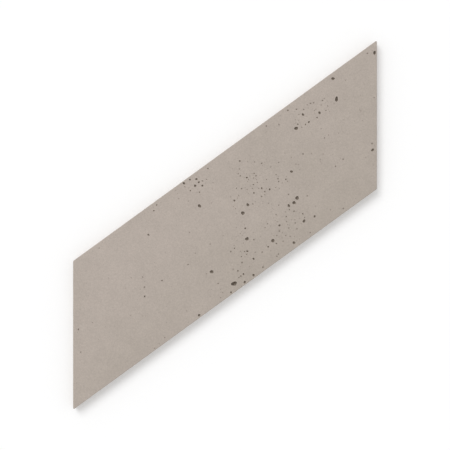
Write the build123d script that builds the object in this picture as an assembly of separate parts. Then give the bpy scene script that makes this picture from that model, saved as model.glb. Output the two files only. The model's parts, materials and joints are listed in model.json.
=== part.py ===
from build123d import *
import os
from math import sqrt, tan, radians

# A concrete wall panel: one flat parallelogram slab, cast face down in a mould.
# Laid beside its mirror image it makes a chevron. Lengths are in millimetres.
# The slab lies on its back with the cast face up. X runs from one upright end
# to the other, Y runs up the wall, and Z points out of the wall. The origin is
# the middle of the back.

# Outline and section
WIDTH = 500.0  # level distance between the two upright ends
END_HEIGHT = 245.0  # length of each upright end
RISE_ANGLE = 36.0  # degrees that the long edges climb from level
THICKNESS = 20.0

# Edges as the mould leaves them
CORNER_RADIUS = 1.5  # the four upright corners
FACE_ARRIS = 1.0  # rounding round the cast face
BACK_ARRIS = 0.6  # bevel round the back, where the wet edge is struck off

# Air trapped against the mould leaves pores in the face. Each one was a bubble
# a little wider than its mouth, so its rim is sharp and its inside looks dark.
SWELL = 1.05  # widest part of a bubble over its mouth
BREADTH = 0.85  # a common bubble's breadth over its length
LONG_BREADTH = 0.6  # the same for two bubbles that ran into one
DEPTH = 0.9  # a bubble's full depth over its length
TURN = 137.5  # degrees from one common bubble to the next, so no two lie alike

# Each pore is (share of the width from the left end, share of the end height
# up from the lower edge, length of the mouth). Shares keep a pore in its place
# on the face when the panel is made in another size.
UPPER_DRIFT = [
    (0.855, 0.956, 5.2),
    (0.757, 0.859, 4.0),
    (0.811, 0.792, 4.4),
    (0.776, 0.782, 3.2),
    (0.734, 0.802, 6.0),
    (0.719, 0.533, 4.4),
    (0.647, 0.521, 3.4),
    (0.621, 0.567, 3.0),
    (0.572, 0.711, 3.2),
    (0.531, 0.618, 3.4),
    (0.575, 0.524, 4.8),
    (0.559, 0.492, 5.8),
]
LOWER_DRIFT = [
    (0.737, 0.330, 6.2),
    (0.727, 0.313, 5.6),
    (0.710, 0.318, 4.8),
    (0.795, 0.121, 3.6),
    (0.760, 0.140, 4.8),
    (0.679, 0.232, 3.6),
    (0.657, 0.161, 5.6),
    (0.642, 0.143, 3.0),
    (0.567, 0.378, 3.0),
    (0.572, 0.299, 5.6),
    (0.574, 0.214, 3.2),
    (0.594, 0.134, 3.6),
    (0.561, 0.080, 3.2),
    (0.456, 0.252, 5.8),
]
LEFT_SCATTER = [
    (0.416, 0.753, 5.4),
    (0.426, 0.874, 3.4),
    (0.402, 0.908, 4.0),
    (0.414, 0.914, 3.4),
    (0.406, 0.947, 3.6),
    (0.248, 0.808, 3.2),
    (0.236, 0.412, 3.0),
]
# Bubbles that sat close to the edge of the mould
NEAR_EDGE = [
    (0.986, 0.284, 4.6),
    (0.727, 0.045, 4.6),
    (0.594, 0.024, 4.2),
    (0.565, 0.020, 4.2),
    (0.520, 0.018, 3.4),
    (0.415, 0.020, 4.4),
    (0.365, 0.980, 4.2),
    (0.385, 0.974, 3.0),
]
# Long pores, with the degrees that each leans from level as a fourth value
LONG_PORES = [
    (0.867, 0.801, 8.0, 85),
    (0.529, 0.062, 9.4, 8),
    (0.992, 0.927, 6.6, 90),
]


def on_face(across, up):
    """Point at a share of the width across and a share of the end height up."""
    x = (across - 0.5) * WIDTH
    y = x * tan(radians(RISE_ANGLE)) + (up - 0.5) * END_HEIGHT
    return x, y


def blank():
    """The slab before its pores: the outline, given its thickness and edges."""
    corners = [on_face(0, 0), on_face(1, 0), on_face(1, 1), on_face(0, 1)]
    outline = Polygon(*corners, align=None)
    outline = fillet(outline.vertices(), CORNER_RADIUS)
    slab = extrude(outline, THICKNESS)
    slab = fillet(slab.edges().group_by(Axis.Z)[-1], FACE_ARRIS)
    return chamfer(slab.edges().group_by(Axis.Z)[0], BACK_ARRIS)


def bubble(across, up, mouth, lean, breadth=BREADTH):
    """The egg of air behind one pore, sunk until the face cuts it at its mouth."""
    length = SWELL * mouth
    centre_depth = DEPTH * length / 2 * sqrt(1 - 1 / SWELL**2)
    egg = scale(Sphere(length / 2), by=(1, breadth, DEPTH))
    x, y = on_face(across, up)
    return Pos(x, y, THICKNESS - centre_depth) * Rot(0, 0, lean) * egg


def wall_panel():
    """The cast panel: the blank less every bubble that met its face."""
    common = UPPER_DRIFT + LOWER_DRIFT + LEFT_SCATTER + NEAR_EDGE
    bubbles = [bubble(*pore, lean=TURN * number) for number, pore in enumerate(common)]
    bubbles += [bubble(*pore, breadth=LONG_BREADTH) for pore in LONG_PORES]
    return blank() - bubbles


panel = wall_panel()
panel.label = "wall_panel"
os.makedirs("parts", exist_ok=True)
export_step(panel, "parts/wall_panel.step")

size = panel.bounding_box().size
print(f"wall_panel: {size.X:.1f} x {size.Y:.1f} x {size.Z:.1f} mm, {panel.volume / 1000:.0f} cm3")
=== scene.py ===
# %% [markdown]
# # A cast concrete wall panel
#
# The real object is one flat slab of fine concrete, about 20 mm thick, cast
# face down in a mould and glued to a wall. Seen from the front it is a
# parallelogram with crisp edges, a matte warm grey face, and a sprinkling of
# small pores where air was trapped against the mould.
#
# The construction model already holds the slab at its real size, with its
# larger pores. This lesson gives it a finer skin, with every pore, nick and
# ripple as real geometry, then a concrete finish, plain studio light and a
# camera that looks down on it.

import json
import math

import bpy
import numpy as np
from mathutils.geometry import delaunay_2d_cdt
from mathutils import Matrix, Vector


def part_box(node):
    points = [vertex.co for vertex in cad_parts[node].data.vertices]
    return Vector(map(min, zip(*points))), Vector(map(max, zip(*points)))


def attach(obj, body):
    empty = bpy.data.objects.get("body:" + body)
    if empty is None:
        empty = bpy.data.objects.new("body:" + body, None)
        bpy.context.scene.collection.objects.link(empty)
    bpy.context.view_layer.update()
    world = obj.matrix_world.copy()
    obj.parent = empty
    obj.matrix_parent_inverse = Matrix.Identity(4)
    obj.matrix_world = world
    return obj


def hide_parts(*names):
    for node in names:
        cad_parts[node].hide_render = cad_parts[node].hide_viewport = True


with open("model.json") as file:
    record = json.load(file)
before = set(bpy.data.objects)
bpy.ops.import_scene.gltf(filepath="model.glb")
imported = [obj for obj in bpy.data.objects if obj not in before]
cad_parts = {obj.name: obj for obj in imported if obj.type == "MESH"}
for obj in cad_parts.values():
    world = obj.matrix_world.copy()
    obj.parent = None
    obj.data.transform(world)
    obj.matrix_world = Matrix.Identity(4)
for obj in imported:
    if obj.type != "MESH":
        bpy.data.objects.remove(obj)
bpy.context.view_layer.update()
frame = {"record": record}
MM = 0.001

# %% [markdown]
# ## Sizes
#
# Nothing is measured twice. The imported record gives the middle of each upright
# end and of each long edge. Width, rise and end height follow from those
# places, so a panel of another size still gets a closed skin that fits it.

# %% Read the sizes from the frame
places = {mount["name"]: np.array(mount["pos_m"]) for mount in frame["record"]["mounts"]}
low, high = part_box("wall_panel")
thickness = high.z - low.z
width, rise = (places["right_end"] - places["left_end"])[:2]
end_height = (places["upper_edge"] - places["lower_edge"])[1]
print(f"width {width / MM:.0f}, end {end_height / MM:.0f}, thickness {thickness / MM:.0f} mm")
print(f"long edges climb {math.degrees(math.atan2(rise, width)):.1f} degrees")


def on_face(across, up):
    """Points from shares: x is the share across the width from the middle,
    and y is the climb of the long edges at x plus the share of the end height."""
    x = (np.asarray(across) - 0.5) * width
    return np.stack([x, x * rise / width + (np.asarray(up) - 0.5) * end_height], -1)


# %% [markdown]
# ## Three sheets
#
# The slab has a face, a back, and sides that run all the way round. Each is
# handled as a flat sheet, seen from outside: the face in x and y, the back
# mirrored, and the sides unrolled, with the way round the slab against the
# height. A flat sheet is easy to fill with pores and triangles, and one
# function for each sheet lifts it back into space.
#
# The outline is a parallelogram with blunt corners. A point on it lies one
# corner radius out from a centre. In a corner the centre rests and the
# direction swings, and along a side the direction rests and the centre slides.
# So both are straight-line functions of the way round, and np.interp gives
# them for any number of points at once.

# %% The outline, by the way round it
CORNER_RADIUS = 1.5 * MM

corners = on_face([0, 1, 1, 0], [0, 0, 1, 1])
edges = np.roll(corners, -1, axis=0) - corners
outward = np.stack([edges[:, 1], -edges[:, 0]], -1) / np.linalg.norm(edges, axis=1)[:, None]
previous = np.roll(outward, 1, axis=0)
cosine = (previous * outward).sum(1)
turns = np.arccos(cosine)
middles = corners - CORNER_RADIUS * (previous + outward) / (1 + cosine)[:, None]
runs = np.linalg.norm(np.roll(middles, -1, axis=0) - middles, axis=1)

way_stops = np.concatenate([[0], np.cumsum(np.stack([CORNER_RADIUS * turns, runs], -1))])
angle_stops = np.concatenate([[0], np.cumsum(np.stack([turns, 0 * turns], -1))])
angle_stops += math.atan2(previous[0, 1], previous[0, 0])
centre_stops = np.concatenate([np.repeat(middles, 2, axis=0), middles[:1]])
perimeter = way_stops[-1]
print(f"way round the slab: {perimeter / MM:.0f} mm")


def outline(way):
    """Centre and outward direction at each way round the slab, anticlockwise."""
    way = way % perimeter
    centre = np.stack([np.interp(way, way_stops, centre_stops[:, k]) for k in (0, 1)], -1)
    angle = np.interp(way, way_stops, angle_stops)
    return centre, np.stack([np.cos(angle), np.sin(angle)], -1)


def gap_to_corners(way):
    """How far round each way is from the nearest corner's rounding, less than nought
    inside one. The first corner starts at nought, so it is also met at the far end."""
    gaps = np.maximum(way_stops[:-1:2] - way[:, None], way[:, None] - way_stops[1::2])
    return np.minimum(gaps.min(1), perimeter - way)


# %% The rim in section
FACE_ARRIS, BACK_ARRIS = 1.0 * MM, 0.6 * MM  # rounded by the mould, and bevelled at the back
# how far the rims reach in over the face and the back, both less than the corner radius
FACE_LIP, BACK_LIP = 1.1 * MM, 1.35 * MM
FACE_SKIRT, BACK_SKIRT = 0.8 * MM, 1.7 * MM  # and over the sides, from each arris
BORDER = 0.15 * MM  # a sheet's own points keep this far from the rims
side_low, side_high = BACK_ARRIS + BACK_SKIRT, thickness - FACE_ARRIS - FACE_SKIRT


def gaps_to_sides(flat):
    """How far in each point of the face lies from each of the slab's four sides."""
    return ((corners - flat[:, None]) * outward).sum(-1)


# %% From a flat sheet into space: point, outward normal, and the sheet's first direction
MIRROR = np.array([1, -1])  # the back's sheet is seen from below


def level(flat, height, up):
    """A level sheet at one height, with the same normal everywhere."""
    count = len(flat)
    points = np.column_stack([flat, np.full(count, height)])
    return points, np.tile([0.0, 0.0, up], (count, 1)), np.tile([1.0, 0.0, 0.0], (count, 1))


def lift_face(flat):
    """x and y, at the height of the face."""
    return level(flat, thickness, 1.0)


def lift_back(flat):
    """x and minus y, at height nought."""
    return level(flat * MIRROR, 0.0, -1.0)


def lift_side(flat):
    """The way round and the height, one corner radius out from the outline's centre."""
    centre, away = outline(flat[:, 0])
    zero = np.zeros(len(flat))
    points = np.column_stack([centre + CORNER_RADIUS * away, flat[:, 1]])
    forward = np.column_stack([-away[:, 1], away[:, 0], zero])
    return points, np.column_stack([away, zero]), forward


# %% [markdown]
# ## Where the air was
#
# Fine concrete poured over a smooth mould traps bubbles. The large ones are few, and each is listed
# as a share of the face, in the same places as in the construction model. They gather in two loose
# drifts right of the middle, and the left third is almost bare.

# %% Large pores, listed one by one: share across, share up, mouth in mm
LARGE_PORES = [
    # the upper drift, from the high end down to the middle
    (0.855, 0.956, 5.2), (0.757, 0.859, 4.0), (0.811, 0.792, 4.4), (0.776, 0.782, 3.2),
    (0.734, 0.802, 6.0), (0.719, 0.533, 4.4), (0.647, 0.521, 3.4), (0.621, 0.567, 3.0),
    (0.572, 0.711, 3.2), (0.531, 0.618, 3.4), (0.575, 0.524, 4.8), (0.559, 0.492, 5.8),
    # the lower drift
    (0.737, 0.330, 6.2), (0.727, 0.313, 5.6), (0.710, 0.318, 4.8), (0.795, 0.121, 3.6),
    (0.760, 0.140, 4.8), (0.679, 0.232, 3.6), (0.657, 0.161, 5.6), (0.642, 0.143, 3.0),
    (0.567, 0.378, 3.0), (0.572, 0.299, 5.6), (0.574, 0.214, 3.2), (0.594, 0.134, 3.6),
    (0.561, 0.080, 3.2), (0.456, 0.252, 5.8),
    # the scatter on the left
    (0.416, 0.753, 5.4), (0.426, 0.874, 3.4), (0.402, 0.908, 4.0), (0.414, 0.914, 3.4),
    (0.406, 0.947, 3.6), (0.248, 0.808, 3.2), (0.236, 0.412, 3.0),
    # bubbles that sat close to the edge of the mould
    (0.986, 0.284, 4.6), (0.727, 0.045, 4.6), (0.594, 0.024, 4.2), (0.565, 0.020, 4.2),
    (0.520, 0.018, 3.4), (0.415, 0.020, 4.4), (0.365, 0.980, 4.2), (0.385, 0.974, 3.0),
]
# two bubbles that ran into one, with the lean of each in degrees
LONG_PORES = [(0.867, 0.801, 8.0, 85), (0.529, 0.062, 9.4, 8), (0.992, 0.927, 6.6, 90)]
TURN = 137.5  # degrees from one large pore to the next
BREADTH, LONG_BREADTH = 0.85, 0.6  # mouth's breadth over its length
SLIMMEST = 0.7  # the least breadth of a small one over its length

large = np.array([(*pore, TURN * n, BREADTH) for n, pore in enumerate(LARGE_PORES)])
large = np.concatenate([large, [(*pore, LONG_BREADTH) for pore in LONG_PORES]])
large_flat, large_mouths = on_face(large[:, 0], large[:, 1]), large[:, 2] * MM
print("large pores:", len(large))

# %% [markdown]
# ## A pore is the print of an egg
#
# Each bubble is an egg: an ellipsoid sunk until the surface cuts it at its
# mouth. It is a little wider than the mouth, so the walls drop straight and
# the inside lies in shade. It would look drilled with a plain oval mouth, so a
# slow wave runs round its waist. And because a bubble seldom comes alone, it
# has a shoulder on one side, where a smaller one ran into it.

# %% The form of an egg's waist
SWELL = 1.05  # an egg's waist over its mouth
DEPTH, SMALL_DEPTH = 0.9, 0.75  # an egg's depth over its length: small bubbles are flatter
OUTER_RING = 1.05  # the first ring of points lies outside the rim, at this share
WAVE_HEIGHTS = np.array([0.07, 0.045, 0.03])
WAVE_COUNTS = np.array([2, 3, 5])
MOST_WAVE = WAVE_HEIGHTS.sum()
SHOULDER_WIDTH = 0.42  # radians either side of its heading
LARGE_SHOULDER, SMALL_SHOULDER = 0.45, 0.25  # the most that one stands out


def waist(angle, form):
    """An egg's waist over an ellipse's, by the angle round it: 1, plus three sine
    waves, plus a bell, which is its height times e to the power of
    (cos(angle - heading) - 1) over its width squared. A form is three phases,
    the shoulder's heading and its height."""
    waves = (WAVE_HEIGHTS * np.sin(angle[..., None] * WAVE_COUNTS + form[..., :3])).sum(-1)
    bell = np.exp((np.cos(angle - form[..., 3]) - 1) / SHOULDER_WIDTH**2)
    return 1 + waves + form[..., 4] * bell


# %% [markdown]
# Next come faint pores, too small for the construction model, listed the same way. The rest are far
# more, so they are drawn at random round a few drift lines, from a seeded generator that gives the
# same scatter on every run. A pore that would reach over a side or into a larger pore is left out.

# %% Faint pores, placed the same way
FAINT_PORES = [
    # beside the upper drift
    (0.707, 0.962, 2.9), (0.735, 0.928, 2.5), (0.821, 0.860, 2.5), (0.868, 0.764, 2.9),
    (0.832, 0.777, 2.1), (0.549, 0.856, 2.9), (0.538, 0.690, 2.2), (0.596, 0.640, 2.0),
    (0.545, 0.631, 2.2), (0.677, 0.658, 2.2), (0.668, 0.589, 2.2), (0.637, 0.603, 2.0),
    (0.700, 0.510, 2.8), (0.636, 0.962, 2.5), (0.968, 0.958, 2.4),
    # beside the lower drift
    (0.709, 0.395, 2.4), (0.677, 0.371, 2.2), (0.727, 0.256, 2.5), (0.640, 0.300, 2.1),
    (0.756, 0.195, 2.9), (0.679, 0.194, 2.4), (0.710, 0.168, 2.3), (0.554, 0.208, 2.2),
    (0.556, 0.165, 2.7), (0.700, 0.133, 2.2), (0.671, 0.036, 2.4), (0.780, 0.034, 2.2),
    (0.889, 0.034, 2.5), (0.984, 0.329, 2.7),
    # on the left
    (0.444, 0.962, 2.7), (0.426, 0.905, 2.4), (0.416, 0.844, 2.4), (0.275, 0.968, 2.7),
    (0.266, 0.943, 2.7), (0.235, 0.475, 2.5), (0.018, 0.514, 2.7), (0.302, 0.038, 2.0),
    (0.486, 0.034, 2.0),
]
faint = np.array(FAINT_PORES)
print("faint pores:", len(faint))

# %% Small pores, scattered round drift lines
# share across, share up, length and breadth in mm, lean in degrees, count
DRIFTS = [
    (0.78, 0.84, 60, 22, 30, 36),
    (0.57, 0.74, 34, 26, 40, 22),
    (0.62, 0.58, 85, 36, 50, 76),
    (0.67, 0.22, 90, 34, 36, 84),
    (0.40, 0.90, 40, 14, 20, 22),
    (0.54, 0.10, 55, 16, 36, 20),
    (0.87, 0.45, 60, 40, 70, 18),
    (0.24, 0.50, 35, 60, 80, 10),
]
LOOSE_COUNT = 110
LOOSE_LEAN = 0.7  # under 1, the loose ones lie thinner towards the left end
SMALLEST, LARGEST = 0.9, 2.8  # mouths in mm
STEEPNESS = 1.4  # how fast large mouths become rare
chance = np.random.default_rng(36)


def mouths(count):
    """Widths by a power law: smallest over (1 - u) to one over the steepness,
    with u even from 0 to where the largest width comes out."""
    top = 1 - (SMALLEST / LARGEST) ** STEEPNESS
    return SMALLEST * MM * (1 - top * chance.random(count)) ** (-1 / STEEPNESS)


def drift(across, up, length, breadth, lean, count):
    """Points with a bell-shaped spread, longer along the lean than across it."""
    spread = chance.normal(size=(count, 2)) * (length / 2, breadth / 2) * MM
    cos, sin = math.cos(math.radians(lean)), math.sin(math.radians(lean))
    return on_face(across, up) + spread @ np.array([(cos, sin), (-sin, cos)])


def reach(mouth, shoulder):
    """How far from its middle a pore's outer ring can lie."""
    return mouth / 2 * OUTER_RING * (1 + MOST_WAVE + shoulder)


def thinned(flat, mouth, taken=None):
    """The pores that reach into none that is taken and none larger, largest first."""
    order = np.argsort(-mouth)
    flat, mouth = flat[order], mouth[order]
    far = reach(mouth, SMALL_SHOULDER)
    taken_flat, taken_far = taken or (np.zeros((0, 2)), np.zeros(0))
    gap = np.linalg.norm(flat[:, None] - np.concatenate([taken_flat, flat]), axis=-1)
    close = gap < far[:, None] + np.concatenate([taken_far, far])
    before = np.arange(gap.shape[1]) < len(taken_flat) + np.arange(len(flat))[:, None]
    keep = ~(close & before).any(1)
    return flat[keep], mouth[keep]


def inland(flat, mouth, lip):
    """The pores that stay clear of the rim all round the slab."""
    keep = gaps_to_sides(flat).min(1) > lip + BORDER + reach(mouth, SMALL_SHOULDER)
    return flat[keep], mouth[keep]


# %% Small pores of the face
edge_room = gaps_to_sides(large_flat).min(1) - FACE_LIP - BORDER
# a shoulder takes what room is left, so that no large pore reaches into the rim
room_share = edge_room / reach(large_mouths, -MOST_WAVE)
large_shoulder = np.clip(room_share - 1 - MOST_WAVE, 0, LARGE_SHOULDER)
scatter = [drift(*line) for line in DRIFTS]
scatter.append(on_face(chance.random(LOOSE_COUNT) ** LOOSE_LEAN, chance.random(LOOSE_COUNT)))
scatter = np.concatenate([on_face(faint[:, 0], faint[:, 1]), *scatter])
drawn = np.concatenate([faint[:, 2] * MM, mouths(len(scatter) - len(faint))])
small_flat, small_mouths = thinned(
    *inland(scatter, drawn, FACE_LIP), (large_flat, reach(large_mouths, large_shoulder))
)
median = float(np.median(small_mouths)) / MM
print("small pores:", len(small_flat), "with a median mouth of", round(median, 2), "mm")

# %% [markdown]
# Each bubble is kept as an egg in space, with a centre, three axes and three
# half sizes. The eggs behind one sheet are made together, as arrays.

# %% Eggs from mouths
class Eggs:
    """Bubbles behind one sheet, as arrays. A half size is SWELL times half of the
    mouth, and breadth and depth are shares of it. The centre lies under the mouth by
    the half depth times the root of 1 - 1 / SWELL squared, where the egg's section is
    as wide as the mouth. An egg that stands proud is moved out by that much."""

    def __init__(
        self, lift, flat, mouth, lean, breadth=BREADTH, depth=DEPTH, shoulder=0.0, proud=0.0
    ):
        count = len(flat)
        lean = np.radians(np.broadcast_to(lean, count))
        cos, sin = np.cos(lean), np.sin(lean)
        place, normal, along = lift(flat)
        first = cos[:, None] * along + sin[:, None] * np.cross(normal, along)
        self.mouth = np.broadcast_to(mouth, count)
        half = SWELL * self.mouth / 2
        self.flat = flat
        self.turn = np.stack([np.stack([cos, sin], -1), np.stack([-sin, cos], -1)], 1)
        self.axes = np.stack([first, np.cross(normal, first), normal], 1)
        self.half = np.stack([half, half * breadth, half * depth], -1)
        sink = self.half[:, 2] * math.sqrt(1 - 1 / SWELL**2) - proud
        self.centre = place - normal * sink[:, None]
        turns = chance.uniform(0, 2 * math.pi, (count, 4))
        self.form = np.column_stack([turns, shoulder * chance.random(count)])


# %% Eggs behind the face
large_eggs = Eggs(
    lift_face, large_flat, large_mouths, large[:, 3], large[:, 4], shoulder=large_shoulder
)
count = len(small_flat)
small_eggs = Eggs(
    lift_face, small_flat, small_mouths, chance.uniform(0, 180, count),
    chance.uniform(SLIMMEST, 1, count), SMALL_DEPTH, SMALL_SHOULDER,
)
print("widest shoulder:", round(float(large_eggs.form[:, 4].max()), 2), "of a mouth's half")

# %% [markdown]
# The sides were cast too, so they have pores of their own. The back was struck
# off with a board and has more of them, wider and shallower. Thin sharp edges
# also lose a few crumbs when a slab is lifted from its mould and stacked. A
# crumb is carved like a pore, by an egg that hangs half outside the arris.

# %% Eggs for the sides, the back and the two arrises
SIDE_PORES, BACK_PORES, FACE_CRUMBS, BACK_CRUMBS = 150, 160, 80, 90
SIDE_WIDEN, BACK_WIDEN = 1.2, 1.4  # how much wider these pores are than those of the face
CORNER_CLEAR = 2.5 * MM  # the sides have no pore whose edge is closer than this to a corner
SIDE_FORM, BACK_FORM, CRUMB_FORM = (0.85, 0.8), (0.8, 0.5), (0.6, 0.5)  # breadth and depth
FACE_CRUMB = (1.2, 3.2)  # least and most length in mm
BACK_CRUMB = (1.6, 3.8)  # any longer, and they would reach past BACK_LIP
MOST_PROUD = 0.35  # the most that a crumb's egg stands out of the side, in mm


def scattered(lift, flat, mouth, breadth, depth):
    """Eggs with random leans, with none reaching into another."""
    flat, mouth = thinned(flat, mouth)
    lean = chance.uniform(0, 180, len(flat))
    return Eggs(lift, flat, mouth, lean, breadth, depth, SMALL_SHOULDER)


def side_places(mouth):
    """Even places round the slab and up its sides, clear of the rims."""
    far = BORDER + reach(mouth, SMALL_SHOULDER)
    height = chance.uniform(side_low + far, side_high - far)
    return np.stack([chance.uniform(0, perimeter, len(mouth)), height], -1)


side_mouths = SIDE_WIDEN * mouths(SIDE_PORES)
side_flat = side_places(side_mouths)
side_room = gap_to_corners(side_flat[:, 0]) - reach(side_mouths, SMALL_SHOULDER)
straight = side_room > CORNER_CLEAR
side_eggs = scattered(lift_side, side_flat[straight], side_mouths[straight], *SIDE_FORM)
back_flat = on_face(chance.random(BACK_PORES), chance.random(BACK_PORES))
back_flat, back_mouths = inland(back_flat, BACK_WIDEN * mouths(BACK_PORES), BACK_LIP)
back_eggs = scattered(lift_back, back_flat * MIRROR, back_mouths, *BACK_FORM)


def crumbs(count, height, smallest, largest):
    """Eggs along an arris, a little proud of the side, longer along it than across."""
    flat = np.stack([chance.uniform(0, perimeter, count), np.full(count, height)], -1)
    length = chance.uniform(smallest, largest, count) * MM
    proud = chance.uniform(0, MOST_PROUD, count) * MM
    return Eggs(lift_side, flat, length, 0, *CRUMB_FORM, SMALL_SHOULDER, proud)


face_crumbs = crumbs(FACE_CRUMBS, thickness, *FACE_CRUMB)
back_crumbs = crumbs(BACK_CRUMBS, 0.0, *BACK_CRUMB)
print("side pores:", len(side_eggs.flat), "back pores:", len(back_eggs.flat))

# %% [markdown]
# ## The rim, as two bands
#
# Seen in section, the rim of the slab is a short profile: a little of the
# face, the arris rounded by the mould, and the top of the side. A second one
# has the foot of the side, a small bevel and a little of the back. Carried
# round the outline, each makes a closed band of columns. Columns stand close
# where a crumb is missing, and far apart elsewhere.

# %% Columns round the outline
COLUMN_STEP = 3.4 * MM
LEAST_STEP = 0.15 * MM
ARC_COLUMNS = 6  # in each corner
CRUMB_COLUMNS = 6  # over each crumb
CRUMB_SPAN = 1.1  # how far those reach, as a share of a crumb's half length


def column_ways():
    """Ways round of all columns: even ones, some in each corner, and some over each
    crumb. Those closer to the one before than the least step are left out."""
    found = [np.arange(0, perimeter - COLUMN_STEP / 2, COLUMN_STEP)]
    for start, end in zip(way_stops[0:-1:2], way_stops[1::2]):
        found.append(np.linspace(start, end, ARC_COLUMNS))
    spread = np.linspace(-CRUMB_SPAN, CRUMB_SPAN, CRUMB_COLUMNS)
    for eggs in (face_crumbs, back_crumbs):
        found.append((eggs.flat[:, :1] + eggs.half[:, :1] * spread).ravel() % perimeter)
    found = np.sort(np.concatenate(found))
    return found[np.diff(found, prepend=-1) > LEAST_STEP]


columns = column_ways()
columns = columns[columns < perimeter - LEAST_STEP]
print("columns:", len(columns))

# %% The two profiles, as inset, height and tilt of the surface
ARRIS_ROWS = 5


def face_rows():
    """Rows from the face to the side. Tilt is the angle of the outward normal above
    level. Inset is r(1 - cos tilt), and height is the top less r(1 - sin tilt)."""
    tilt = np.linspace(math.pi / 2, 0, ARRIS_ROWS)
    heights = thickness - FACE_ARRIS * (1 - np.sin(tilt))
    rows = [(FACE_LIP, thickness, math.pi / 2)]
    rows += list(zip(FACE_ARRIS * (1 - np.cos(tilt)), heights, tilt))
    return rows + [(0, side_high, 0)]


def back_rows():
    """Rows from the side down over the bevel to the back."""
    rows = [(0, side_low, 0), (0, BACK_ARRIS + BACK_SKIRT / 2, 0), (0, BACK_ARRIS, 0)]
    rows += [(BACK_ARRIS / 2, BACK_ARRIS / 2, -math.pi / 4), (BACK_ARRIS, 0, -math.pi / 2)]
    return rows + [((BACK_ARRIS + BACK_LIP) / 2, 0, -math.pi / 2), (BACK_LIP, 0, -math.pi / 2)]


def band(rows):
    """Points and normals of every column and row."""
    inset, height, tilt = np.array(rows).T
    centre, away = outline(columns)
    points, normals = np.empty((2, len(columns), len(rows), 3))
    points[..., :2] = centre[:, None] + (CORNER_RADIUS - inset)[:, None] * away[:, None]
    points[..., 2] = height
    normals[..., :2] = np.cos(tilt)[:, None] * away[:, None]
    normals[..., 2] = np.sin(tilt)
    return points, normals


face_band, back_band = band(face_rows()), band(back_rows())
print("bands:", face_band[0].shape[:2], back_band[0].shape[:2])

# %% [markdown]
# ## Points for the sheets
#
# A pore needs close points only where it is. So each flat sheet gets a wide
# jittered grid, plus a few rings of points at each mouth: one just outside the
# rim, one just inside, and the rest down to the floor. An even grid as fine as
# the rims need would have millions of points.
#
# The four upright corners need care too. Their rounding is narrower than the
# grid, so triangles between loose points would cut straight across it. Posts,
# which are upright rows of points, stand round each corner to hold its form.

# %% Rings and grids
FEW_RINGS = np.array([OUTER_RING, 0.975, 0.84, 0.55, 0.2])  # shares of the way to the rim
MORE_RINGS = np.array([OUTER_RING, 0.975, 0.87, 0.68, 0.44, 0.18])
# least and most mouth, segments round it, and rings
FINE = [
    (0, 1.5 * MM, 12, FEW_RINGS),
    (1.5 * MM, 3 * MM, 17, MORE_RINGS),
    (3 * MM, 20 * MM, 30, MORE_RINGS),  # no mouth is as wide as 20 mm
]
COARSE = [  # for sides and back
    (0, 2 * MM, 13, FEW_RINGS),
    (2 * MM, 3 * MM, 21, FEW_RINGS),
    (3 * MM, 20 * MM, 28, FEW_RINGS),
]
HALO = [(0, 20 * MM, 15, np.array([1.22]))]  # one loose ring round each large pore
HALO_CLEAR, GRID_CLEAR = 1.15, 1.45  # loose points keep clear of a mouth by such a share
FACE_GRID, BACK_GRID, SIDE_GRID = 4 * MM, 6 * MM, 3.6 * MM  # between loose points
POST_ROWS = 7  # points up each post
POST_CLEAR = 1.2 * MM  # loose points keep this far from a corner's rounding


def rings(eggs, fineness):
    """Points at fixed shares of the way from each mouth's middle to its rim, and the
    edges that join each ring's points, as pairs of their numbers."""
    points, edges, total = [], [], 0
    for least, most, segments, shares in fineness:
        chosen = (eggs.mouth >= least) & (eggs.mouth < most)
        angle = np.linspace(0, 2 * math.pi, segments, endpoint=False)
        radius = waist(angle, eggs.form[chosen][:, None]) / SWELL
        round_trip = radius[..., None] * np.stack([np.cos(angle), np.sin(angle)], -1)
        local = shares[:, None, None] * (round_trip * eggs.half[chosen][:, None, :2])[:, None]
        flat = local @ eggs.turn[chosen][:, None] + eggs.flat[chosen][:, None, None]
        numbers = total + np.arange(flat[..., 0].size).reshape(flat.shape[:-1])
        points.append(flat.reshape(-1, 2))
        edges.append(np.stack([numbers, np.roll(numbers, -1, axis=-1)], -1).reshape(-1, 2))
        total += numbers.size
    return np.concatenate(points), np.concatenate(edges)


def joined(*sets):
    """Several sets of points and their edges as one."""
    starts = np.cumsum([0] + [len(points) for points, _ in sets])
    edges = [pairs + start for (_, pairs), start in zip(sets, starts)]
    return np.concatenate([points for points, _ in sets]), np.concatenate(edges)


def mouth_shares(flat, eggs):
    """How far each point is from each mouth's middle, as a share of the way to its rim."""
    offset = flat[:, None] - eggs.flat
    local = (offset[..., None, :] * eggs.turn).sum(-1) / eggs.half[:, :2]
    angle = np.arctan2(local[..., 1], local[..., 0])
    return SWELL * np.linalg.norm(local, axis=-1) / waist(angle, eggs.form)


def clear_of(flat, share, *egg_sets):
    """Only the points further out than the share from every mouth."""
    for eggs in egg_sets:
        flat = flat[(mouth_shares(flat, eggs) > share).all(1)]
    return flat


def loose_grid(start, end, spacing):
    """An even grid over a box, with every point moved by up to a quarter of the spacing."""
    axes = [np.arange(start[k] + spacing / 2, end[k], spacing) for k in (0, 1)]
    grid = np.stack(np.meshgrid(*axes), -1).reshape(-1, 2)
    return grid + chance.uniform(-spacing / 4, spacing / 4, grid.shape)


def inside(flat, margin):
    """Only the points further in than the margin from every side of the slab."""
    return flat[gaps_to_sides(flat).min(1) > margin]


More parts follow.
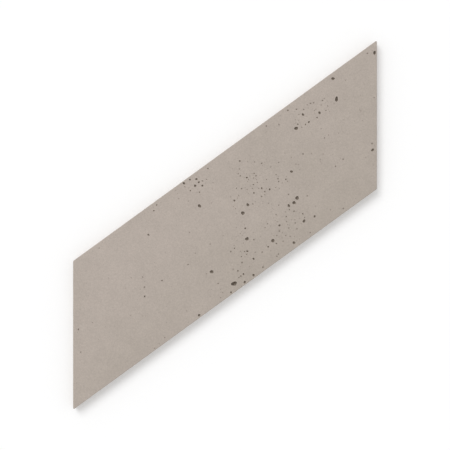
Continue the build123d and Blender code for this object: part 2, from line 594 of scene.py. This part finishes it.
def posts():
    """Points up the corners at the ways of their columns, and the edges that join them
    upwards. The way nought has none, because the sheet itself ends there."""
    arcs = zip(way_stops[0:-1:2], way_stops[1::2])
    ways = np.concatenate([np.linspace(*arc, ARC_COLUMNS) for arc in arcs])[1:]
    heights = np.linspace(side_low, side_high, POST_ROWS + 2)[1:-1]
    flat = np.stack(np.meshgrid(ways, heights, indexing="ij"), -1)
    numbers = np.arange(flat[..., 0].size).reshape(flat.shape[:2])
    return flat.reshape(-1, 2), np.stack([numbers[:, :-1], numbers[:, 1:]], -1).reshape(-1, 2)


def off_corners(flat):
    """Only the points of the side sheet that keep clear of every corner's rounding."""
    return flat[gap_to_corners(flat[:, 0]) > POST_CLEAR]


# %% Fill the three sheets
box = (low.x, low.y), (high.x, high.y)
face_rings, face_edges = joined(rings(large_eggs, FINE), rings(small_eggs, FINE))
halo = clear_of(rings(large_eggs, HALO)[0], HALO_CLEAR, large_eggs, small_eggs)
grid = clear_of(loose_grid(*box, FACE_GRID), GRID_CLEAR, large_eggs, small_eggs)
face_flat = np.concatenate([face_rings, inside(np.concatenate([halo, grid]), FACE_LIP + BORDER)])

back_rings, back_edges = rings(back_eggs, COARSE)
grid = clear_of(loose_grid(*box, BACK_GRID) * MIRROR, GRID_CLEAR, back_eggs)
back_flat = np.concatenate([back_rings, inside(grid * MIRROR, BACK_LIP + BORDER) * MIRROR])

side_rings, side_edges = joined(rings(side_eggs, COARSE), posts())
side_box = (0, side_low + BORDER), (perimeter - BORDER, side_high - BORDER)
grid = clear_of(off_corners(loose_grid(*side_box, SIDE_GRID)), GRID_CLEAR, side_eggs)
side_flat = np.concatenate([side_rings, grid])
print("points on face, back and sides:", len(face_flat), len(back_flat), len(side_flat))

# %% [markdown]
# ## One closed skin
#
# A Delaunay triangulation joins each sheet's points to the row of a band that
# it meets. Left to itself it would skip from ring to ring where they lie close,
# and tear a pore's rim, so each ring is given to it as edges that must stay.
# Sheets and bands share their points, so the skin has no gap. The side sheet's
# two ends are the same column, where the way round starts again.

# %% Number every point once
chunks = []


def add(points, normals):
    """Puts points into the skin, and returns their numbers in it."""
    first = sum(len(chunk[0]) for chunk in chunks)
    chunks.append((points.reshape(-1, 3), normals.reshape(-1, 3)))
    return first + np.arange(points[..., 0].size).reshape(points.shape[:-1])


face_rim, back_rim = add(*face_band), add(*back_band)
face_inner = add(*lift_face(face_flat)[:2])
back_inner = add(*lift_back(back_flat)[:2])
side_inner = add(*lift_side(side_flat)[:2])
skin, normals = (np.concatenate(part) for part in zip(*chunks))


# %% Triangles and quads between them
def fill(loop, loop_numbers, inner, inner_numbers, edges):
    """Triangles that fill an anticlockwise loop, through all inner points and edges."""
    points = np.concatenate([loop, inner]) / MM
    kept = (edges + len(loop)).tolist()
    found = delaunay_2d_cdt(points.tolist(), kept, [list(range(len(loop)))], 1, 1e-6)
    assert len(found[0]) == len(points), "two points fell together, or two rings crossed"
    return np.append(loop_numbers, inner_numbers)[np.array(found[2])]


def strips(numbers):
    """Quads between each row and column and the next, with the last column joined to the
    first."""
    after = np.roll(numbers, -1, axis=0)
    cells = np.stack([numbers[:, :-1], numbers[:, 1:], after[:, 1:], after[:, :-1]], -1)
    return cells.reshape(-1, 4)


ways = np.append(columns, perimeter)
foot = np.stack([ways, np.full(len(ways), side_low)], -1)
head = np.stack([ways, np.full(len(ways), side_high)], -1)[::-1]
foot_numbers = np.append(back_rim[:, 0], back_rim[0, 0])
head_numbers = np.append(face_rim[:, -1], face_rim[0, -1])[::-1]
quads = np.concatenate([strips(face_rim), strips(back_rim)])
side_loop, side_numbers = np.concatenate([foot, head]), np.append(foot_numbers, head_numbers)
top_numbers, under_numbers = face_rim[:, 0], back_rim[::-1, -1]
triangles = np.concatenate([
    fill(skin[top_numbers, :2], top_numbers, face_flat, face_inner, face_edges),
    fill(skin[under_numbers, :2] * MIRROR, under_numbers, back_flat, back_inner, back_edges),
    fill(side_loop, side_numbers, side_flat, side_inner, side_edges),
])


def open_edges():
    """Edges that don't have exactly two faces."""
    ends = [np.stack([shape, np.roll(shape, -1, axis=1)], -1) for shape in (quads, triangles)]
    ends = np.sort(np.concatenate([pair.reshape(-1, 2) for pair in ends]), axis=1)
    return (np.unique(ends, axis=0, return_counts=True)[1] != 2).sum()


print("skin:", len(skin), "points,", 2 * len(quads) + len(triangles), "triangles")
print("open edges:", open_edges())

# %% [markdown]
# ## Ripple and carve
#
# No cast face is truly flat. A random field, made of many sine waves in
# random directions, presses the skin in by a few hundredths of a millimetre
# on the face, more on the sides, and most on the back, which was only struck
# off with a board. The skin only ever moves inwards, so it stays inside the
# slab's real size.
#
# Then each egg pushes the points it holds straight in, against their normal,
# until they lie on its far wall. On a flat face that makes a pit, and on the
# round arris of the face a shallow bite.
#
# The crumbs of the back go deeper than its bevel is wide. The bevel's normals
# meet just under it, so points that followed them would pass one another and
# turn the skin inside out. There the whole rim goes in along one slant.

# %% Press in the skin by a random field
FIELD_WAVES = 40
# height of each ripple and its grain, in mm, for the face, the sides and the back
FACE_RIPPLE = [(0.05, 60)]
SIDE_RIPPLES = [(0.15, 22), (0.10, 9)]
BACK_RIPPLES = [(0.35, 35), (0.15, 12)]


def field(grain, seed):
    """Smooth random values from 0 to 1: the mean of sine waves whose lengths
    lie round the grain, squeezed by a logistic curve."""
    draw = np.random.default_rng(seed)
    heading = draw.normal(size=(FIELD_WAVES, 3))
    heading /= np.linalg.norm(heading, axis=1, keepdims=True)
    pace = 2 * math.pi / (grain * draw.uniform(0.6, 1.6, FIELD_WAVES))
    start = draw.uniform(0, 2 * math.pi, FIELD_WAVES)
    total = np.sin(skin @ (heading * pace[:, None]).T + start).sum(1)
    return 1 / (1 + np.exp(-total / math.sqrt(FIELD_WAVES)))


up_share = np.clip(normals[:, 2], 0, 1) ** 2
down_share = np.clip(-normals[:, 2], 0, 1) ** 2
side_share = 1 - up_share - down_share
press, seed = np.zeros(len(skin)), 0
for share, ripples in (
    (up_share, FACE_RIPPLE), (side_share, SIDE_RIPPLES), (down_share, BACK_RIPPLES)
):
    for height, grain in ripples:
        seed += 1
        press += share * (height * MM) * field(grain * MM, seed)
smooth = skin - normals * press[:, None]
print("deepest ripple:", round(float(press.max() / MM), 2), "mm")


# %% Carve every egg
def carve(points, away, eggs):
    """Moves each point inside an egg along its inward normal to the far wall.
    With q the point and n the normal in the egg's own measure, where the egg is
    a unit ball, the way t is the larger root of |q + t n| = 1."""
    points = points.copy()
    for centre, axes, half, form in zip(eggs.centre, eggs.axes, eggs.half, eggs.form):
        farthest = half.max() * (1 + MOST_WAVE + form[4])
        near = np.flatnonzero(((points - centre) ** 2).sum(1) < farthest**2)
        q = (points[near] - centre) @ axes.T / half
        q[:, :2] /= waist(np.arctan2(q[:, 1], q[:, 0]), form)[:, None]
        n = -away[near] @ axes.T / half
        a, b, c = (n * n).sum(1), (q * n).sum(1), (q * q).sum(1) - 1
        inner = c < 0
        way = (-b[inner] + np.sqrt(b[inner] ** 2 - a[inner] * c[inner])) / a[inner]
        hit = near[inner]
        points[hit] -= away[hit] * way[:, None]
    return points


slanted = normals.copy()
slanted[back_rim] = band([(inset, height, -math.pi / 4) for inset, height, _ in back_rows()])[1]
skin = smooth
for eggs in (large_eggs, small_eggs, side_eggs, back_eggs):
    skin = carve(skin, normals, eggs)
depth = np.linalg.norm(skin - smooth, axis=1)  # of pores alone, for the painted shade inside them: crumbs get none
skin = carve(skin, normals, face_crumbs)
skin = carve(skin, slanted, back_crumbs)
print("deepest pore:", round(float(depth.max() / MM), 1), "mm")

# %% [markdown]
# ## The mesh
#
# The arrays become one mesh that stands for the slab of the construction
# model. It is shaded smoothly, apart from edges that turn by more than 40
# degrees: the rims of pores, the nicks and the bevel stay crisp.
#
# Three values go with each point, for the finish to read: how deep in a pore it lies, for the
# painted shade inside pores, whether it lies just outside the rim of a large pore, for a painted
# highlight there, and how much it belongs to the back that was struck off.

# %% Values for the finish
FULL_SHADE_DEPTH = 1.6 * MM  # a pore as deep as this gets the full painted shade inside
RIM_END = 1.1  # where the painted highlight round a large pore ends, as a share of the way to its rim
pore_shade = np.clip(depth / FULL_SHADE_DEPTH, 0, 1)
shares = mouth_shares(face_flat, large_eggs)
# a painted highlight: points just outside a large pore's mouth are drawn a tenth lighter
rim = np.zeros(len(skin))
rim[face_inner] = ((shares > 1.0) & (shares < RIM_END)).any(1)
rim[depth > 0] = 0
print("points on pale rims:", int(rim.sum()))

# %% Build the mesh and let it stand for the slab
CRISP = math.radians(40)
mesh = bpy.data.meshes.new("wall_panel_skin")
mesh.from_pydata(skin.tolist(), [], quads.tolist() + triangles.tolist())
mesh.polygons.foreach_set("use_smooth", np.ones(len(mesh.polygons), bool))
mesh.set_sharp_from_angle(angle=CRISP)
for name, values in {"pore_shade": pore_shade, "rim": rim, "struck": down_share}.items():
    layer = mesh.attributes.new(name, "FLOAT", "POINT")
    layer.data.foreach_set("value", values.astype(np.float32))
mesh.update()

panel = bpy.data.objects.new("wall_panel_skin", mesh)
bpy.context.collection.objects.link(panel)
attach(panel, "root")
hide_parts("wall_panel")


def enclosed(shape):
    """Volume under a set of triangles: a sixth of the sum of a . (b x c)."""
    a, b, c = (skin[shape[:, k]] for k in range(3))
    return (a * np.cross(b, c)).sum() / 6


volume = enclosed(quads[:, [0, 1, 2]]) + enclosed(quads[:, [0, 2, 3]]) + enclosed(triangles)
print(f"the skin holds {volume * 1e6:.0f} cm3")

# %% [markdown]
# ## The finish: cast concrete
#
# The real material is a fine grey-beige concrete, cast against a smooth mould and left bare. It is
# matte, with the dull sheen of hardened cement paste. The paste is drawn lighter and warmer towards
# the low end and the upper edge, and greyer and darker towards the high end and the lower edge.
#
# Colours are written as they are read off a screen, and one function turns
# them into the linear values that the renderer works in.


# %% Colour and node helpers
def linear(hex_colour):
    """Linear red, green, blue and alpha from sRGB hex: below 0.04045 a share is
    divided by 12.92, and above it ((share + 0.055) / 1.055) is raised to 2.4."""
    shares = [int(hex_colour[k : k + 2], 16) / 255 for k in (1, 3, 5)]
    return [s / 12.92 if s <= 0.04045 else ((s + 0.055) / 1.055) ** 2.4 for s in shares] + [1.0]


def node(tree, kind, inputs=None, **settings):
    """Adds a node. Settings are its own options. Inputs go by a socket's name, or
    its number where names repeat, and are values or other nodes' sockets."""
    new = tree.nodes.new(kind)
    for option, value in settings.items():
        setattr(new, option, value)
    for name, value in (inputs or {}).items():
        socket = new.inputs[name]
        if isinstance(value, bpy.types.NodeSocket):
            tree.links.new(value, socket)
        else:
            socket.default_value = value
    return new


# %% [markdown]
# Each layer of the finish has a real size. Clouds a hand wide and a mottle a
# finger wide come from how the paste settled. Grains of sand and pinholes are
# cut at random by the surface, as the real ones are: a three-dimensional
# Voronoi pattern gives little balls all through the slab, and the face shows a
# slice of those that it meets. Each ball has a size of its own, and a fine
# noise moves the place where the pattern is read, so no slice is a clean disc.

# %% Real sizes of the pattern, and the colours
CLOUD, MOTTLE = 130 * MM, 24 * MM
CLOUD_GAIN, CLOUD_SHIFT = 1.6, -0.3  # how far the clouds move the change of tone
SAND = 2.4 * MM  # fine sand is 0.5 mm, too fine to show, so it is drawn coarser
RAGGED_GRAIN, RAGGED = 1.1 * MM, 0.7 * MM  # size and height of the noise that moves the place
# room for one ball, its largest radius, and where its soft edge starts
GRAIN = (4.0 * MM, 0.9 * MM, 0.55)
PINHOLE = (5.5 * MM, 0.62 * MM, 0.6)
SMALLEST_BALL = 0.35  # the least radius over the largest
BUMP = 0.14 * MM

WARM_END, GREY_END = linear("#B3A89F"), linear("#ABA197")
# the colour of the painted shade deep inside pores, and of the greyer back
SHADE_IN_PORES, STRUCK = linear("#867B70"), linear("#A69D93")


def warm_to_grey():
    """The vector that gives, times a place, how far it is from the warm end: half a
    share across the width, plus half a share down from the upper edge."""
    across, down = 0.45, 0.55
    slope = rise / width
    return (across / width + down * slope / end_height, -down / end_height, 0.0)


# %% Cast concrete, left bare
def cast_concrete():
    """Paste in two tones, clouded and mottled, with sand, pinholes with painted shade, painted
    shade in the pores with a painted highlight round the large ones, and a greyer back."""
    material = bpy.data.materials.new("cast_concrete")
    material.use_nodes = True
    tree = material.node_tree
    tree.nodes.clear()
    place = node(tree, "ShaderNodeTexCoord").outputs["Object"]

    # two tones of paste: a slow change over the slab, broken up by clouds
    cloud = node(tree, "ShaderNodeTexNoise", {"Vector": place, "Scale": 1 / CLOUD, "Detail": 3.0})
    ramp = node(tree, "ShaderNodeVectorMath", {0: place, 1: warm_to_grey()}, operation="DOT_PRODUCT")
    offset = node(
        tree, "ShaderNodeMath", {0: cloud.outputs[0], 1: CLOUD_GAIN, 2: CLOUD_SHIFT},
        operation="MULTIPLY_ADD",
    )
    share = node(
        tree, "ShaderNodeMath", {0: ramp.outputs["Value"], 1: offset.outputs[0]}, use_clamp=True
    )
    paste = node(
        tree, "ShaderNodeMix", {0: share.outputs[0], 6: WARM_END, 7: GREY_END}, data_type="RGBA"
    )

    # what is struck off by hand is greyer, and pores get painted shade, darker the deeper they go
    struck = node(tree, "ShaderNodeAttribute", attribute_name="struck").outputs["Fac"]
    sided = node(
        tree, "ShaderNodeMix", {0: struck, 6: paste.outputs[2], 7: STRUCK}, data_type="RGBA"
    )
    pore_shade = node(tree, "ShaderNodeAttribute", attribute_name="pore_shade").outputs["Fac"]
    pore_shaded = node(tree, "ShaderNodeMix", {0: pore_shade, 6: sided.outputs[2], 7: SHADE_IN_PORES}, data_type="RGBA")

    # balls of sand and of air, cut by the surface at a place moved by a fine noise
    ragged = node(
        tree, "ShaderNodeTexNoise", {"Vector": place, "Scale": 1 / RAGGED_GRAIN, "Detail": 2.0}
    )
    moved = node(
        tree, "ShaderNodeVectorMath", {0: ragged.outputs["Color"], 1: (RAGGED,) * 3, 2: place},
        operation="MULTIPLY_ADD",
    )
    slices = []
    for room, radius, edge in (GRAIN, PINHOLE):
        ball = node(
            tree, "ShaderNodeTexVoronoi", {"Vector": moved.outputs[0], "Scale": 1 / room}
        )
        luck = node(tree, "ShaderNodeSeparateColor", {"Color": ball.outputs["Color"]})
        size = node(
            tree, "ShaderNodeMapRange",
            {
                "Value": luck.outputs[1],
                "To Min": SMALLEST_BALL * radius / room, "To Max": radius / room,
            },
        )
        way = node(
            tree, "ShaderNodeMath", {0: ball.outputs["Distance"], 1: size.outputs[0]},
            operation="DIVIDE",
        )
        within = node(
            tree, "ShaderNodeMapRange",
            {
                "Value": way.outputs[0],
                "From Min": edge, "From Max": 1.0, "To Min": 1.0, "To Max": 0.0,
            },
        )
        slices.append((within.outputs[0], luck.outputs[0]))
    (in_grain, grain_luck), (in_pinhole, _) = slices

    # tones that multiply the colour, each round 1
    mottle = node(
        tree, "ShaderNodeTexNoise",
        {"Vector": place, "Scale": 1 / MOTTLE, "Detail": 4.0, "Roughness": 0.6},
    )
    sand = node(
        tree, "ShaderNodeTexNoise",
        {"Vector": place, "Scale": 1 / SAND, "Detail": 5.0, "Roughness": 0.85},
    )
    grain_tone = node(
        tree, "ShaderNodeMapRange", {"Value": grain_luck, "To Min": 0.82, "To Max": 1.12}
    )
    rim = node(tree, "ShaderNodeAttribute", attribute_name="rim").outputs["Fac"]
    tones = [node(tree, "ShaderNodeMix", {0: in_grain, 2: 1.0, 3: grain_tone.outputs[0]})]
    # a pattern, the values that it runs between, and the tones that they give
    for value, start, end, first, last in (
        (mottle.outputs[0], 0.3, 0.7, 0.97, 1.03),
        (sand.outputs[0], 0.3, 0.7, 0.86, 1.14),
        # pinholes: painted shade, half as bright where the surface cuts a ball of air
        (in_pinhole, 0.0, 1.0, 1.0, 0.5),
        # the painted highlight round large pores, a tenth lighter
        (rim, 0.0, 1.0, 1.0, 1.10),
    ):
        tones.append(node(
            tree, "ShaderNodeMapRange",
            {"Value": value, "From Min": start, "From Max": end, "To Min": first, "To Max": last},
        ))
    tone = tones[0].outputs[0]
    for other in tones[1:]:
        tone = node(
            tree, "ShaderNodeMath", {0: tone, 1: other.outputs[0]}, operation="MULTIPLY"
        ).outputs[0]
    colour = node(
        tree, "ShaderNodeVectorMath", {0: pore_shaded.outputs[2], "Scale": tone}, operation="SCALE"
    )

    relief = node(tree, "ShaderNodeMath", {0: sand.outputs[0], 1: in_pinhole}, operation="SUBTRACT")
    bump = node(
        tree, "ShaderNodeBump", {"Strength": 0.8, "Distance": BUMP, "Height": relief.outputs[0]}
    )
    surface = node(
        tree, "ShaderNodeBsdfPrincipled",
        {"Base Color": colour.outputs[0], "Normal": bump.outputs[0], "Roughness": 0.88, "IOR": 1.5},
    )
    node(tree, "ShaderNodeOutputMaterial", {"Surface": surface.outputs[0]})
    return material


panel.data.materials.append(cast_concrete())
print("finish:", panel.data.materials[0].name)

# %% [markdown]
# ## Floor, light and camera
#
# The floor is plain white. One wide sun from the upper left gives the pores
# their shade, and an even pale sky fills the rest. Together they light a level
# surface to about the colour that it is written in.

# %% The floor
FLOOR_SIZE = 60.0
FLOOR_DROP = 0.1 * MM  # just under the slab, so that the two don't share a plane
FLOOR_WHITE = 0.93
FLOOR_LIFT = 0.08  # a glow that only the camera sees, so that the open floor is white
half_floor = FLOOR_SIZE / 2
signs = np.array([(-1, -1), (1, -1), (1, 1), (-1, 1)])
floor_mesh = bpy.data.meshes.new("floor")
floor_mesh.from_pydata(level(half_floor * signs, -FLOOR_DROP, 1.0)[0].tolist(), [], [(0, 1, 2, 3)])
floor = bpy.data.objects.new("floor", floor_mesh)
bpy.context.collection.objects.link(floor)

paint = bpy.data.materials.new("floor_white")
paint.use_nodes = True
tree = paint.node_tree
tree.nodes.clear()
path = node(tree, "ShaderNodeLightPath")
white = (FLOOR_WHITE, FLOOR_WHITE, FLOOR_WHITE, 1)
matte = node(tree, "ShaderNodeBsdfDiffuse", {"Color": white})
lift = node(
    tree, "ShaderNodeMath", {0: path.outputs["Is Camera Ray"], 1: FLOOR_LIFT},
    operation="MULTIPLY",
)
glow = node(tree, "ShaderNodeEmission", {"Strength": lift.outputs[0]})
both = node(tree, "ShaderNodeAddShader", {0: matte.outputs[0], 1: glow.outputs[0]})
node(tree, "ShaderNodeOutputMaterial", {"Surface": both.outputs[0]})
floor_mesh.materials.append(paint)

# %% Sky and sun
SKY = 0.7
world = bpy.data.worlds.new("studio")
bpy.context.scene.world = world
world.use_nodes = True
tree = world.node_tree
tree.nodes.clear()
path = node(tree, "ShaderNodeLightPath")
seen = path.outputs["Is Camera Ray"]
for ray in ("Is Glossy Ray", "Is Transmission Ray"):
    either = {0: seen, 1: path.outputs[ray]}
    seen = node(tree, "ShaderNodeMath", either, operation="MAXIMUM").outputs[0]
strength = node(tree, "ShaderNodeMapRange", {"Value": seen, "To Min": SKY, "To Max": 1.0})
sky = node(tree, "ShaderNodeBackground", {"Color": (1, 1, 1, 1), "Strength": strength.outputs[0]})
node(tree, "ShaderNodeOutputWorld", {"Surface": sky.outputs[0]})

SUN_HEIGHT, SUN_SIDE = math.radians(55), math.radians(125)
SUN_SPREAD = math.radians(35)  # a wide sun gives soft edges to the shade
sun_light = bpy.data.lights.new("sun", "SUN")
sun_light.angle = SUN_SPREAD
sun_light.energy = (1 - SKY) * math.pi / math.sin(SUN_HEIGHT)
sun = bpy.data.objects.new("sun", sun_light)
sun.rotation_euler = (math.pi / 2 - SUN_HEIGHT, 0, SUN_SIDE + math.pi / 2)
bpy.context.collection.objects.link(sun)
print("sun energy:", round(sun_light.energy, 2))

# %% The camera looks straight down
LENS, SENSOR = 100.0, 36.0
VIEW_HEIGHT = 740 * MM  # how much of the floor the square picture takes in
camera_data = bpy.data.cameras.new("camera")
camera_data.lens = LENS
camera_data.sensor_width = SENSOR
camera = bpy.data.objects.new("camera", camera_data)
camera.location = (0, 0, thickness + VIEW_HEIGHT * LENS / SENSOR)
bpy.context.collection.objects.link(camera)
bpy.context.scene.camera = camera
bpy.context.scene.view_settings.view_transform = "Standard"
